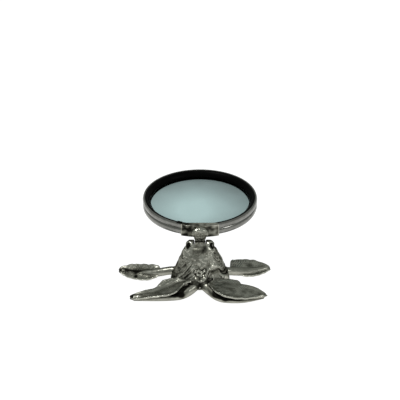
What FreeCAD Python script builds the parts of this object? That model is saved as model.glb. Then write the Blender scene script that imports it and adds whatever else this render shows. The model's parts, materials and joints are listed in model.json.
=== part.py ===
"""Desk magnifier: a lens in a tilting rim, carried by a cast stand with four leaf feet.

Millimetres, +Z up, -Y to the front, origin on the table under the middle of the object.
The stand is a hollow gnarled trunk whose top is a two-eared fork. Four leaf castings plug
into the trunk and are screwed from inside it. A neck knuckle turns between the ears on a
shoulder screw and carries the saddle that grips the lens rim.
"""

import FreeCAD
import Part
import Sketcher
import math
import os

Vec = FreeCAD.Vector
Rot = FreeCAD.Rotation
Pose = FreeCAD.Placement

X_AXIS, Y_AXIS, Z_AXIS = Vec(1, 0, 0), Vec(0, 1, 0), Vec(0, 0, 1)

# Driving dimensions, one cell of the sheet each.
SIZES = {
    # where the trunk stands and where the lens sits
    "trunk_x": 4.38,
    "trunk_y": -29.78,
    "hinge_y": -3.0,
    "hinge_z": 37.5,
    "rim_tilt": 11.0,
    "rim_centre_y": 51.2,
    "rim_centre_z": 58.4,
    # rim hoop: two beads with a groove between
    "rim_radius": 51.0,
    "rim_height": 10.0,
    "rim_bore": 49.0,
    "bead_edge": 0.7,
    "groove_depth": 1.1,
    "groove_half": 0.5,
    "hoop_gap": 3.6,
    # black bezels and lens
    "fit_gap": 0.1,
    "bezel_throat": 43.9,
    "bezel_mouth": 46.3,
    "bezel_lip": 1.0,
    "lens_radius": 46.5,
    "lens_edge": 2.0,
    "lens_curve": 460.0,
    "lens_seat": -2.6,
    "gasket_thick": 0.6,
    "bezel_split": 1.6,
    "split_angle": 24.0,
    # saddle and rivets
    "saddle_thick": 1.2,
    "saddle_flange": 0.6,
    "saddle_reach": 3.2,
    "saddle_angle": 36.0,
    "rivet_radius": 1.2,
    "rivet_angle": 12.5,
    # neck knuckle
    "boss_half_width": 7.3,
    "boss_half_height": 4.9,
    "boss_depth": 5.2,
    "boss_round": 2.9,
    "boss_root": 1.5,
    "eye_radius": 4.8,
    "eye_width": 8.2,
    "neck_half": 2.5,
    "screw_radius": 1.5,
    "screw_bite": 3.6,
    # fork and hinge hardware
    "fork_half": 4.9,
    "ear_outer": 12.0,
    "ear_radius": 4.6,
    "ear_round": 1.5,
    "pin_radius": 1.6,
    "pin_play": 0.05,
    "head_radius": 2.6,
    "recess_radius": 2.85,
    "recess_depth": 2.4,
    "washer_thick": 0.6,
    "washer_radius": 3.9,
    # trunk
    "trunk_wall": 3.4,
    "hollow_top": 28.4,
    "slot_floor": 32.4,
    "slot_front": -8.0,
    "apron_front": -9.5,
    "apron_top": 40.8,
    # leaf feet
    "tenon_radius": 3.0,
    "tenon_play": 0.05,
    "tenon_length": 9.0,
    "socket_radius": 4.8,
    "blade_thick": 2.0,
    "leaf_screw_radius": 1.4,
    "leaf_head_radius": 2.8,
    "leaf_head_thick": 1.8,
    "leaf_washer_radius": 3.9,
    "leaf_washer_thick": 0.7,
}

# Trunk sections: height, half width, half depth, shift in y.
TRUNK_RINGS = [
    (4.0, 25.4, 21.0, 0.0),
    (14.0, 23.2, 18.6, -0.6),
    (24.0, 18.9, 15.0, -1.4),
    (32.0, 14.8, 11.6, -2.4),
    (38.0, 12.4, 6.4, -3.0),
]

# Leaf feet, in millimetres from the trunk's axis. The stem rows are x, y, z and radius from
# the trunk outwards. The outline goes round the blade from the stem, front edge first, on a
# plane given by a point and its slopes along x and y.
LEAVES = {
    "front_left": {
        "stem": [(-6.5, -14, 9.5, 5.0), (-6.8, -20, 9.3, 5.0), (-11.5, -26.6, 6.2, 4.3),
                 (-20, -30.8, 3.3, 3.55), (-36, -32, 2.9, 3.1), (-55, -32.6, 2.9, 1.8)],
        "outline": [(-6.5, -27), (-8.5, -32), (-14, -35.2), (-19, -37.6), (-27, -39.5),
                    (-36, -39), (-47, -37.2), (-54.5, -35.9), (-57.2, -33.6), (-53.4, -29.8),
                    (-47.7, -28.2), (-42, -26.8), (-36.2, -26), (-33.5, -21.2), (-28.5, -18.6),
                    (-21, -19.4), (-11.5, -23.5)],
        "plane": (-31.6, -18.3, 12, 0.2, 0.22),
    },
    "front_right": {
        "stem": [(6.5, -14, 9.5, 5.0), (6.8, -21, 9.3, 5.0), (12.5, -30.6, 6.2, 4.3),
                 (21, -36.4, 3.3, 3.55), (36, -36, 2.9, 3.1), (52, -31.4, 2.9, 1.8)],
        "outline": [(7, -27), (10.5, -33.5), (14.5, -38.2), (20, -41.6), (28, -42), (37.3, -39),
                    (47.4, -34.2), (53.3, -31.3), (54.6, -28), (49, -22.6), (42, -19.6),
                    (35, -19.2), (32.6, -14.6), (27, -13.4), (18, -15.6), (10.5, -20.5)],
        "plane": (34, -3, 11, -0.18, 0.13),
    },
    "rear_left": {
        "stem": [(-14.5, 6.6, 9.5, 3.6), (-25, 8.2, 9.0, 3.7), (-36, 9.5, 6.8, 3.7),
                 (-46, 11.8, 4.4, 3.5), (-57, 15.6, 2.9, 3.2), (-69, 19.6, 3.4, 2.0)],
        "outline": [(-35, 6.5), (-40, 3.9), (-45.5, 3), (-52, 4.6), (-60, 8.4), (-67.4, 13.5),
                    (-71.2, 18), (-70.4, 21.2), (-66, 22.3), (-59, 22.8), (-51, 21.2),
                    (-42, 18.6), (-36, 15), (-33.6, 10.5)],
        "plane": (-53, 21.6, 9.5, 0.2, 0.45),
    },
    "rear_right": {
        "stem": [(14.5, 4.4, 9.5, 3.6), (24, 6.8, 9.0, 3.7), (32, 11.6, 6.6, 3.7),
                 (41, 17, 4.2, 3.5), (51, 22, 2.9, 3.2), (60.5, 26.4, 3.2, 2.0)],
        "outline": [(29, 15), (33, 11.2), (39.5, 10.6), (46, 13), (53, 16.7), (58.8, 21.4),
                    (62.4, 26.4), (61.8, 29.6), (57.5, 31.4), (47, 32.4), (37.5, 31),
                    (30, 28.6), (27, 24.6), (27.2, 19)],
        "plane": (44.8, 33.9, 9.2, -0.22, 0.33),
    },
}

doc = FreeCAD.newDocument("desk_magnifier")
sheet = doc.addObject("Spreadsheet::Sheet", "Sizes")
nodes = []


def fill_sheet():
    """One row per driving dimension: its name beside its value."""
    for row, (alias, value) in enumerate(SIZES.items(), start=1):
        sheet.set(f"A{row}", alias)
        sheet.set(f"B{row}", str(value))
        sheet.setAlias(f"B{row}", alias)
    doc.recompute()


def size(alias):
    """The value now in the sheet's cell."""
    return float(sheet.get(alias))


def value_of(text):
    """The number that an expression on the sheet's aliases comes to."""
    probe = doc.getObject("Probe") or doc.addObject("App::FeaturePython", "Probe")
    if not hasattr(probe, "Result"):
        probe.addProperty("App::PropertyFloat", "Result")
    probe.setExpression("Result", bind(text))
    probe.recompute()
    return probe.Result


def bind(text):
    """The same expression with each alias read from the sheet."""
    out, word = [], ""
    for letter in text + " ":
        if letter.isalnum() or letter == "_" or (letter == "." and word[:1].isdigit()):
            word += letter
            continue
        out.append(f"Sizes.{word}" if word in SIZES else word)
        out.append(letter)
        word = ""
    return "".join(out).strip()


def merged(shape):
    """The shape with its split faces joined, where that leaves it sound."""
    joined = shape.copy().removeSplitter()
    same = abs(joined.Volume - shape.Volume) < 0.001 * shape.Volume
    return joined if joined.isValid() and same else shape


def keep(item, label):
    """Marks a finished sub-part: its label names its file."""
    item.Label = label
    nodes.append(item)
    return item


# ---------------------------------------------------------------- sketch helpers


def new_body(name):
    return doc.addObject("PartDesign::Body", name)


def plane_of(body, role):
    return next(o for o in body.Origin.OriginFeatures if o.Role == role)


def new_sketch(body, name, role="XY_Plane"):
    sketch = body.newObject("Sketcher::SketchObject", name)
    sketch.AttachmentSupport = [(plane_of(body, role), "")]
    sketch.MapMode = "FlatFace"
    return sketch


def pin_point(sketch, geo, end, across, up):
    """Holds one end of a line or arc at a place worked out from the sheet."""
    for kind, text in (("DistanceX", across), ("DistanceY", up)):
        index = sketch.addConstraint(
            Sketcher.Constraint(kind, -1, 1, geo, end, value_of(text))
        )
        sketch.setExpression(f"Constraints[{index}]", bind(text))


def outline(sketch, steps):
    """A closed outline. Each step is (x, y) for a straight edge to that point, or
    (x, y, radius, side) for an arc, side +1 when its centre lies left of the way there."""
    at = [Vec(value_of(s[0]), value_of(s[1]), 0) for s in steps]
    for i, step in enumerate(steps):
        start, end = at[i - 1], at[i]
        if len(step) == 2:
            geo = sketch.addGeometry(Part.LineSegment(start, end), False)
            last = 2
        else:
            radius = value_of(step[2])
            chord = end - start
            half = chord.Length / 2
            left = Vec(-chord.y, chord.x, 0).normalize()
            centre = start + chord * 0.5 + left * step[3] * math.sqrt(radius**2 - half**2)
            middle = centre - left * step[3] * radius
            geo = sketch.addGeometry(Part.Arc(start, middle, end), False)
            first_point = sketch.getPoint(geo, 1)
            last = 2 if (first_point - start).Length < 1e-6 else 1
            index = sketch.addConstraint(Sketcher.Constraint("Radius", geo, radius))
            sketch.setExpression(f"Constraints[{index}]", bind(step[2]))
        pin_point(sketch, geo, last, step[0], step[1])
        if i == 0:
            first_geo, first_start = geo, 3 - last
        else:
            sketch.addConstraint(
                Sketcher.Constraint("Coincident", previous[0], previous[1], geo, 3 - last)
            )
        previous = (geo, last)
    sketch.addConstraint(
        Sketcher.Constraint("Coincident", previous[0], previous[1], first_geo, first_start)
    )


def circle(sketch, across, up, radius):
    geo = sketch.addGeometry(
        Part.Circle(Vec(value_of(across), value_of(up), 0), Z_AXIS, value_of(radius)), False
    )
    pin_point(sketch, geo, 3, across, up)
    index = sketch.addConstraint(Sketcher.Constraint("Radius", geo, value_of(radius)))
    sketch.setExpression(f"Constraints[{index}]", bind(radius))


def revolve(body, name, steps, kind="PartDesign::Revolution", degrees=360.0, about="V_Axis",
            role="XZ_Plane", midplane=False):
    """Turns an outline about an axis of its own sketch."""
    sketch = new_sketch(body, name + "Sketch", role)
    outline(sketch, steps)
    turned = body.newObject(kind, name)
    turned.Profile = sketch
    turned.ReferenceAxis = (sketch, [about])
    turned.Angle = degrees
    turned.Midplane = midplane
    body.Tip = turned
    doc.recompute()
    return turned


def pad(body, name, sketch, length, kind="PartDesign::Pad", midplane=False, reverse=False):
    made = body.newObject(kind, name)
    made.Profile = sketch
    made.setExpression("Length", bind(length))
    made.Midplane = midplane
    made.Reversed = reverse
    body.Tip = made
    doc.recompute()
    return made


# ---------------------------------------------------------------- places

# Each place is across, back, up, the axis it is turned about and the angle, from the sheet.
HEAD = ("trunk_x", "trunk_y + rim_centre_y", "rim_centre_z", X_AXIS, "rim_tilt")
TRUNK = ("trunk_x", "trunk_y", "0", Z_AXIS, "0")
HINGE = ("trunk_x", "trunk_y + hinge_y", "hinge_z", Y_AXIS, "90")


def place(item, where):
    """Puts a finished piece where its bound expressions say."""
    across, back, up, axis, angle = where
    item.Placement = pose_of(where)
    for part, text in (("Base.x", across), ("Base.y", back), ("Base.z", up)):
        item.setExpression(f"Placement.{part}", bind(text))
    if angle != "0":
        item.setExpression("Placement.Rotation.Angle", bind(angle))
    doc.recompute()


def pose_of(where):
    """The same place as a value, for working out one piece's sizes from another's place."""
    across, back, up, axis, angle = where
    return Pose(Vec(value_of(across), value_of(back), value_of(up)), Rot(axis, value_of(angle)))


# ---------------------------------------------------------------- lens head


def make_hoop():
    """Rolled hoop with two beads outside. It is split under the saddle."""
    body = new_body("Hoop")
    half, bead = "rim_height/2", "(rim_height/4 + groove_half)"
    inner, edge = "rim_bore", "rim_radius - bead_edge"
    floor = "rim_radius - groove_depth"
    revolve(body, "HoopRing", [
        (inner, f"-{half}"),
        (edge, f"-{half}"),
        ("rim_radius", f"-{bead}", "5", 1),
        (edge, "-groove_half", "5", 1),
        (floor, "0"),
        (edge, "groove_half"),
        ("rim_radius", bead, "5", 1),
        (edge, half, "5", 1),
        (inner, half),
    ])
    gap = new_sketch(body, "GapSketch")
    outline(gap, [("-hoop_gap/2", "-rim_radius - 2"), ("hoop_gap/2", "-rim_radius - 2"),
                  ("hoop_gap/2", "-rim_bore + 2"), ("-hoop_gap/2", "-rim_bore + 2")])
    pad(body, "HoopGap", gap, "rim_height + 2", "PartDesign::Pocket", midplane=True)
    for side, turn in (("Left", -1), ("Right", 1)):
        drill_radially(body, side, turn)
    place(body, HEAD)
    keep(body, "rim_hoop")


def drill_radially(body, side, turn):
    """A rivet hole through the front wall, turned about the ring's axis."""
    sketch = new_sketch(body, f"Rivet{side}Sketch", "XZ_Plane")
    sketch.AttachmentOffset = Pose(Vec(0, 0, 0), Rot(Y_AXIS, turn * size("rivet_angle")))
    circle(sketch, "0", "0", "rivet_radius")
    pad(body, f"Rivet{side}", sketch, "rim_radius + 8", "PartDesign::Pocket", reverse=True)


def make_bezel():
    """Upper black bezel: a split spring ring with a sloping mouth, seated on the lens."""
    body = new_body("Bezel")
    wall = "rim_bore - fit_gap"
    foot = "lens_seat + lens_edge + 0.05"
    revolve(body, "BezelRing", [
        ("bezel_throat", f"{foot} + 0.55"),
        ("lens_radius", foot),
        (wall, foot),
        (wall, "rim_height/2 - 0.2"),
        ("bezel_mouth + 0.8", "rim_height/2 - 0.2"),
        ("bezel_mouth", "rim_height/2 - 0.9"),
        ("bezel_throat", f"{foot} + 0.55 + bezel_lip"),
    ])
    split = new_sketch(body, "SplitSketch")
    split.AttachmentOffset = Pose(Vec(0, 0, 0), Rot(Z_AXIS, -size("split_angle")))
    outline(split, [("-bezel_split/2", "-rim_radius"), ("bezel_split/2", "-rim_radius"),
                    ("bezel_split/2", "-bezel_throat + 1"),
                    ("-bezel_split/2", "-bezel_throat + 1")])
    pad(body, "BezelSplit", split, "rim_height * 2", "PartDesign::Pocket", midplane=True)
    place(body, HEAD)
    keep(body, "upper_bezel")


def make_lens():
    """Biconvex crown glass with a plain ground edge."""
    body = new_body("Lens")
    low, high = "lens_seat", "lens_seat + lens_edge"
    sag = "(lens_curve - sqrt(lens_curve^2 - lens_radius^2))"
    revolve(body, "LensGlass", [
        ("0", f"{low} - {sag}"),
        ("lens_radius", low, "lens_curve", 1),
        ("lens_radius", high),
        ("0", f"{high} + {sag}", "lens_curve", 1),
    ])
    place(body, HEAD)
    keep(body, "lens")


def make_lower_rings():
    """A flat gasket under the lens, and the lower bezel that holds both in the hoop."""
    body = new_body("Gasket")
    top = "lens_seat - 0.05"
    revolve(body, "GasketRing", [
        ("lens_radius - 1.9", f"{top} - gasket_thick"),
        ("lens_radius", f"{top} - gasket_thick"),
        ("lens_radius", f"{top} - 0.25"),
        ("lens_radius - 1.9", f"{top} - 0.25"),
    ])
    place(body, HEAD)
    keep(body, "lens_gasket")

    body = new_body("LowerBezel")
    top = "lens_seat - 0.05 - gasket_thick - 0.05"
    wall = "rim_bore - fit_gap"
    revolve(body, "LowerBezelRing", [
        ("bezel_throat", f"{top} - 0.6"),
        ("bezel_throat + 0.9", "-rim_height/2 + 0.2"),
        (wall, "-rim_height/2 + 0.2"),
        (wall, top),
        ("bezel_throat", top),
    ])
    place(body, HEAD)
    keep(body, "lower_bezel")


def make_saddle():
    """Channel that grips the hoop's two ends: a curved front with a lip above and below."""
    body = new_body("Saddle")
    inner = "rim_radius + 0.05"
    outer = "rim_radius + 0.05 + saddle_thick"
    half = "rim_height/2 + 0.05"
    lip = "rim_radius - saddle_reach"
    sketch = new_sketch(body, "SaddleSketch", "YZ_Plane")
    outline(sketch, [
        (f"-({lip})", f"-({half})"),
        (f"-({inner})", f"-({half})"),
        (f"-({inner})", half),
        (f"-({lip})", half),
        (f"-({lip})", f"{half} + saddle_flange"),
        (f"-({outer})", f"{half} + saddle_flange"),
        (f"-({outer})", f"-({half}) - saddle_flange"),
        (f"-({lip})", f"-({half}) - saddle_flange"),
    ])
    turned = body.newObject("PartDesign::Revolution", "SaddleChannel")
    turned.Profile = sketch
    turned.ReferenceAxis = (sketch, ["V_Axis"])
    turned.setExpression("Angle", bind("saddle_angle"))
    turned.Midplane = True
    body.Tip = turned
    doc.recompute()
    for side, turn in (("Left", -1), ("Right", 1)):
        drill_radially(body, side, turn)
    hole = new_sketch(body, "NeckHoleSketch", "XZ_Plane")
    circle(hole, "0", "0", "screw_radius + 0.05")
    pad(body, "NeckHole", hole, "rim_radius + 8", "PartDesign::Pocket", reverse=True)
    place(body, HEAD)
    keep(body, "rim_saddle")


def make_rivets():
    """Two rivets through saddle and hoop, ground flush on both sides."""
    shapes = []
    start, end = size("rim_bore"), size("rim_radius") + 0.05 + size("saddle_thick")
    for turn in (-1, 1):
        away = Rot(Z_AXIS, turn * size("rivet_angle")).multVec(Vec(0, -1, 0))
        shapes.append(Part.makeCylinder(size("rivet_radius") - 0.02, end - start - 0.3,
                                        away * (start + 0.2), away))
    rivets = doc.addObject("Part::Feature", "Rivets")
    rivets.Shape = Part.makeCompound(shapes)
    place(rivets, HEAD)
    keep(rivets, "saddle_rivets")


def knuckle_frame():
    """The hinge's place in the rim's own frame: depth and height."""
    local = pose_of(HEAD).inverse().multVec(pose_of(HINGE).Base)
    return local.y, local.z


def make_neck():
    """Knuckle: an oval domed boss on the saddle, a short neck and the hinge eye."""
    eye_y, eye_z = knuckle_frame()
    face = -(size("rim_radius") + 0.1 + size("saddle_thick"))
    wide, tall, deep = size("boss_half_width"), size("boss_half_height"), size("boss_depth")
    oval = Part.Ellipse(Vec(0, 0, 0), wide, tall).toShape()
    root = size("boss_root")
    boss = Part.Face(Part.Wire([oval])).extrude(Vec(0, 0, deep + root))
    rim_edges = [e for e in boss.Edges if abs(e.CenterOfMass.z - deep - root) < 0.01]
    boss = boss.makeFillet(size("boss_round"), rim_edges)
    boss.Placement = Pose(Vec(0, face + root, 0), Rot(X_AXIS, 90))
    saddle_wall = Part.makeCylinder(-face, 80, Vec(0, 0, -40), Z_AXIS)

    half = size("neck_half")
    eye = Part.makeCylinder(size("eye_radius"), size("eye_width"),
                            Vec(-size("eye_width") / 2, eye_y, eye_z), X_AXIS)
    neck_profile = Part.makePolygon([
        Vec(0, eye_y - half, eye_z), Vec(0, eye_y + half, eye_z),
        Vec(0, face + root, -tall + 0.9), Vec(0, face + root, 0.5),
        Vec(0, face - deep + 2.4, -1.2), Vec(0, eye_y - half, eye_z),
    ])
    neck = Part.Face(neck_profile).extrude(Vec(size("eye_width"), 0, 0))
    neck.translate(Vec(-size("eye_width") / 2, 0, 0))
    solid = boss.fuse([neck, eye]).cut(saddle_wall)
    bore = Part.makeCylinder(size("pin_radius") + size("pin_play"), 30,
                             Vec(-15, eye_y, eye_z), X_AXIS)
    tapped = Part.makeCylinder(size("screw_radius") - 0.02, size("screw_bite") + 0.6,
                               Vec(0, face + 0.6, 0), -Y_AXIS)
    neck_piece = doc.addObject("Part::Feature", "Neck")
    neck_piece.Shape = merged(solid.cut([bore, tapped]))
    place(neck_piece, HEAD)
    keep(neck_piece, "neck_knuckle")


def make_neck_screw():
    """Flat-headed screw from inside the hoop's gap into the boss."""
    body = new_body("NeckScrew")
    start = "rim_radius - 0.4"
    revolve(body, "NeckScrewTurned", [
        ("0", start),
        ("1.75", start),
        ("screw_radius - 0.05", "rim_radius"),
        ("screw_radius - 0.05", "rim_radius + saddle_thick + screw_bite - 0.4"),
        ("0", "rim_radius + saddle_thick + screw_bite"),
    ], role="XZ_Plane")
    across, back, up, axis, angle = HEAD
    place(body, (across, back, up, axis, angle + " + 90"))
    keep(body, "neck_screw")


# ---------------------------------------------------------------- trunk


def ellipse_wire(height, wide, deep, shift):
    if wide >= deep:
        curve = Part.Ellipse(Vec(0, shift, height), wide, deep)
    else:
        curve = Part.Ellipse(Vec(0, shift + deep, height), Vec(wide, shift, height),
                             Vec(0, shift, height))
    return Part.Wire([curve.toShape()])


def trunk_envelope():
    """The trunk's outer form as a solid."""
    return Part.makeLoft([ellipse_wire(*ring) for ring in TRUNK_RINGS], True, False)


def trunk_hollow():
    """The space inside the trunk, one wall in from the outer form and open below."""
    wall = size("trunk_wall")
    wires = [ellipse_wire(height, wide - wall, deep - wall, shift)
             for height, wide, deep, shift in TRUNK_RINGS[:3]]
    wires[0].translate(Vec(0, 0, -1))
    _, wide, deep, shift = TRUNK_RINGS[3]
    wires.append(ellipse_wire(size("hollow_top"), wide - wall - 1.2, deep - wall - 1.2, shift))
    return Part.makeLoft(wires, True, False)


def tenon_axis(leaf):
    """Where a leaf's stem enters the trunk, and the way it points outwards."""
    first, second = leaf["stem"][0], leaf["stem"][1]
    start = Vec(first[0], first[1], first[2])
    way = Vec(second[0] - first[0], second[1] - first[1], 0).normalize()
    return start, way


def make_trunk(envelope):
    """Hollow casting with a fork on top and four inside bosses for the leaves."""
    outer_reach = size("ear_outer")
    hinge = Vec(0, size("hinge_y"), size("hinge_z"))
    ears = Part.makeCylinder(size("ear_radius"), 2 * outer_reach,
                             hinge - X_AXIS * outer_reach, X_AXIS)
    ears = ears.makeFillet(size("ear_round"), [e for e in ears.Edges if e.Closed])
    hollow = trunk_hollow()
    bosses, holes = [], []
    for leaf in LEAVES.values():
        start, way = tenon_axis(leaf)
        bosses.append(Part.makeCylinder(size("socket_radius"), 20, start, way))
        holes.append(Part.makeCylinder(size("tenon_radius") + size("tenon_play"), 40,
                                       start, way))
    apron = Part.makeBox(2 * size("fork_half") + 4,
                         size("slot_front") - size("apron_front"),
                         size("apron_top") - 36,
                         Vec(-size("fork_half") - 2, size("apron_front"), 36))
    trunk = envelope.cut(hollow).fuse(ears).fuse(apron)
    for boss in bosses:
        trunk = trunk.fuse(boss.common(envelope))
    slot = Part.makeBox(2 * size("fork_half"), 40, 20,
                        Vec(-size("fork_half"), size("slot_front"), size("slot_floor")))
    pin = Part.makeCylinder(size("pin_radius") + size("pin_play"), 60,
                            hinge - X_AXIS * 30, X_AXIS)
    depth = size("recess_depth")
    recesses = [
        Part.makeCylinder(size("recess_radius"), 20,
                          hinge + X_AXIS * (outer_reach - depth), X_AXIS),
        Part.makeCylinder(size("recess_radius"), 20,
                          hinge - X_AXIS * (outer_reach - depth), -X_AXIS),
    ]
    for tool in holes + [slot, pin] + recesses:
        trunk = trunk.cut(tool)
    trunk = merged(trunk)
    piece = doc.addObject("Part::Feature", "Trunk")
    piece.Shape = trunk
    place(piece, TRUNK)
    keep(piece, "trunk_casting")


# ---------------------------------------------------------------- leaves


def stem_solid(rows):
    """A round stem that tapers to the leaf's tip, its sections square to its path."""
    points = [Vec(x, y, z) for x, y, z, _ in rows]
    path = Part.BSplineCurve()
    path.interpolate(points)
    wires = []
    for point, (_, _, _, radius) in zip(points, rows):
        way = path.tangent(path.parameter(point))[0]
        wires.append(Part.Wire([Part.Circle(point, way, radius).toShape()]))
    return Part.makeLoft(wires, True, False)


def blade_solid(leaf):
    """A leaf-shaped plate lying on a gently sloping plane."""
    x0, y0, z0, slope_x, slope_y = leaf["plane"]
    points = [Vec(x, y, z0 + slope_x * (x - x0) + slope_y * (y - y0))
              for x, y in leaf["outline"]]
    curve = Part.BSplineCurve()
    curve.interpolate(points, PeriodicFlag=True)
    face = Part.Face(Part.Wire([curve.toShape()]))
    normal = Vec(-slope_x, -slope_y, 1).normalize()
    thick = size("blade_thick")
    return face.extrude(-normal * thick)


def make_leaf(side, leaf, envelope):
    """One casting: blade and stem, flat where it rests, with a tenon for the trunk."""
    start, way = tenon_axis(leaf)
    stem = stem_solid(leaf["stem"])
    body = stem.fuse(blade_solid(leaf))
    floor = Part.makeBox(400, 400, 40, Vec(-200, -200, -40))
    body = body.cut([envelope, floor])
    solids = sorted(body.Solids, key=lambda s: s.Volume)
    body = solids[-1]
    reach = size("tenon_length")
    tenon = Part.makeCylinder(size("tenon_radius"), 30, start + way * 1.2, way)
    outside = tenon.cut(envelope)
    tenon = tenon.cut(outside).fuse(outside.common(body))
    tapped = Part.makeCylinder(size("leaf_screw_radius") + 0.02, reach, start, way)
    solid = merged(body.fuse(tenon).cut(tapped))
    piece = doc.addObject("Part::Feature", f"Leaf{side}")
    piece.Shape = solid
    place(piece, TRUNK)
    keep(piece, f"leaf_foot_{side}")


def make_leaf_fasteners():
    """Inside the trunk, each leaf has a washer on the boss and a round-headed screw."""
    screws, washers = [], []
    thick, head = size("leaf_washer_thick"), size("leaf_head_thick")
    for leaf in LEAVES.values():
        start, way = tenon_axis(leaf)
        ring = Part.makeCylinder(size("leaf_washer_radius"), thick, start - way * thick, way)
        bore = Part.makeCylinder(size("leaf_screw_radius") + 0.1, thick * 3,
                                 start - way * thick * 2, way)
        washers.append(ring.cut(bore))
        seat = start - way * (thick + head)
        button = Part.makeCylinder(size("leaf_head_radius"), head, seat, way)
        dome = Part.makeSphere(size("leaf_head_radius") + 0.9, seat + way * 2.4)
        shank = Part.makeCylinder(size("leaf_screw_radius"),
                                  size("tenon_length") + thick - 0.6, seat + way * head, way)
        slot = Part.makeBox(0.8, 20, 0.9, Vec(-0.4, -10, 0))
        slot.Placement = Pose(seat, Rot(Z_AXIS, way))
        screws.append(merged(button.common(dome).fuse(shank).cut(slot)))
    for label, shapes in (("leaf_screws", screws), ("leaf_washers", washers)):
        piece = doc.addObject("Part::Feature", label.title().replace("_", ""))
        piece.Shape = Part.makeCompound(shapes)
        place(piece, TRUNK)
        keep(piece, label)


# ---------------------------------------------------------------- hinge hardware


def make_hinge_screw():
    """Slotted shoulder screw, its head in the left ear's recess. The hinge pieces are
    turned about their own +Z, which runs along the hinge to the right."""
    body = new_body("HingeScrew")
    seat = "-(ear_outer - recess_depth)"
    revolve(body, "HingeScrewTurned", [
        ("0", f"{seat} - 1.9"),
        ("head_radius - 0.5", f"{seat} - 1.7"),
        ("head_radius", f"{seat} - 1.2"),
        ("head_radius", seat),
        ("pin_radius", seat),
        ("pin_radius", "ear_outer - 0.7"),
        ("0", "ear_outer - 0.7"),
    ])
    slot = new_sketch(body, "SlotSketch")
    outline(slot, [("-4", "-0.4"), ("4", "-0.4"), ("4", "0.4"), ("-4", "0.4")])
    slot.AttachmentOffset = Pose(Vec(0, 0, -(size("ear_outer") - size("recess_depth")) - 1.2),
                                 Rot())
    pad(body, "DriverSlot", slot, "3", "PartDesign::Pocket", reverse=False)
    place(body, HINGE)
    keep(body, "hinge_screw")


def make_hinge_nut():
    """Round slotted nut in the right ear's recess, with a crinkle washer under it."""
    body = new_body("HingeNut")
    seat = "ear_outer - recess_depth + washer_thick + 0.05"
    revolve(body, "HingeNutTurned", [
        ("pin_radius + 0.02", seat),
        ("head_radius", seat),
        ("head_radius", "ear_outer - 0.4"),
        ("head_radius - 0.5", "ear_outer"),
        ("pin_radius + 0.02", "ear_outer"),
    ])
    place(body, HINGE)
    keep(body, "hinge_nut")

    body = new_body("SpringWasher")
    revolve(body, "SpringWasherTurned", [
        ("pin_radius + 0.15", "ear_outer - recess_depth"),
        ("head_radius", "ear_outer - recess_depth"),
        ("head_radius", "ear_outer - recess_depth + washer_thick"),
        ("pin_radius + 0.15", "ear_outer - recess_depth + washer_thick"),
    ])
    place(body, HINGE)
    keep(body, "hinge_spring_washer")


def make_friction_washers():
    """One plain washer each side of the eye; the ears squeeze them to hold the tilt."""
    sides = (("left", " - eye_width/2 - 0.06 - washer_thick"), ("right", " + eye_width/2 + 0.06"))
    for side, shift in sides:
        body = new_body(f"Washer{side.title()}")
        sketch = new_sketch(body, f"Washer{side.title()}Sketch")
        circle(sketch, "0", "0", "washer_radius")
        circle(sketch, "0", "0", "pin_radius + 0.08")
        pad(body, f"Washer{side.title()}Disc", sketch, "washer_thick")
        across, back, up, axis, angle = HINGE
        place(body, (across + shift, back, up, axis, angle))
        keep(body, f"friction_washer_{side}")


# ---------------------------------------------------------------- build and write


def check_and_write():
    os.makedirs("parts", exist_ok=True)
    doc.recompute()
    for item in doc.Objects:
        bad = [s for s in item.State if s in ("Invalid", "Error")]
        if bad:
            raise RuntimeError(f"{item.Name} is {bad}")
    for item in nodes:
        shape = item.Shape
        if shape.isNull() or not shape.isValid() or not shape.Solids:
            raise RuntimeError(f"{item.Label} has no valid solid")
        shape.exportStep(os.path.join("parts", item.Label + ".step"))
        print(f"{item.Label:26s} {len(shape.Solids)} solids {shape.Volume / 1000:8.3f} cm3")


fill_sheet()
make_hoop()
make_bezel()
make_lens()
make_lower_rings()
make_saddle()
make_rivets()
make_neck()
make_neck_screw()
outer_form = trunk_envelope()
make_trunk(outer_form)
for leaf_side, leaf_sizes in LEAVES.items():
    make_leaf(leaf_side, leaf_sizes, outer_form)
make_leaf_fasteners()
make_hinge_screw()
make_hinge_nut()
make_friction_washers()
check_and_write()
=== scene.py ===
import bpy
import bmesh
import json
import math
from mathutils import Matrix, Vector, kdtree, noise


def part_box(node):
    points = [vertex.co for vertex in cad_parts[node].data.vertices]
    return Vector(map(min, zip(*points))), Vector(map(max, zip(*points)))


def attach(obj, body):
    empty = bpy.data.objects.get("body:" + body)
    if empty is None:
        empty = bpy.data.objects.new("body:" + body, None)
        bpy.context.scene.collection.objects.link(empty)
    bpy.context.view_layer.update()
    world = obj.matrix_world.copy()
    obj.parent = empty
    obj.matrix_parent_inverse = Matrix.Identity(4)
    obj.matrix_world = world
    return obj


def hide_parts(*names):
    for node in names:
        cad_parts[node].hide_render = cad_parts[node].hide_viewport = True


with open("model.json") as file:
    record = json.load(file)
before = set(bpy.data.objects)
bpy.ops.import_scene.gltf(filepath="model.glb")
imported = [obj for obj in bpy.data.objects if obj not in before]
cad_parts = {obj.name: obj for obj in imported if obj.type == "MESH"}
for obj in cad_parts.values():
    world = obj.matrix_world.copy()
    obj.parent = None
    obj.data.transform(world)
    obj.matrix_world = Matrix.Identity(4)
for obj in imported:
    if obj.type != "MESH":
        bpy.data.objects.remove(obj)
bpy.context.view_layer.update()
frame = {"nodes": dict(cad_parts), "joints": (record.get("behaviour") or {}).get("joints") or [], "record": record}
print("frame loaded")

mm = 0.001

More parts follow.
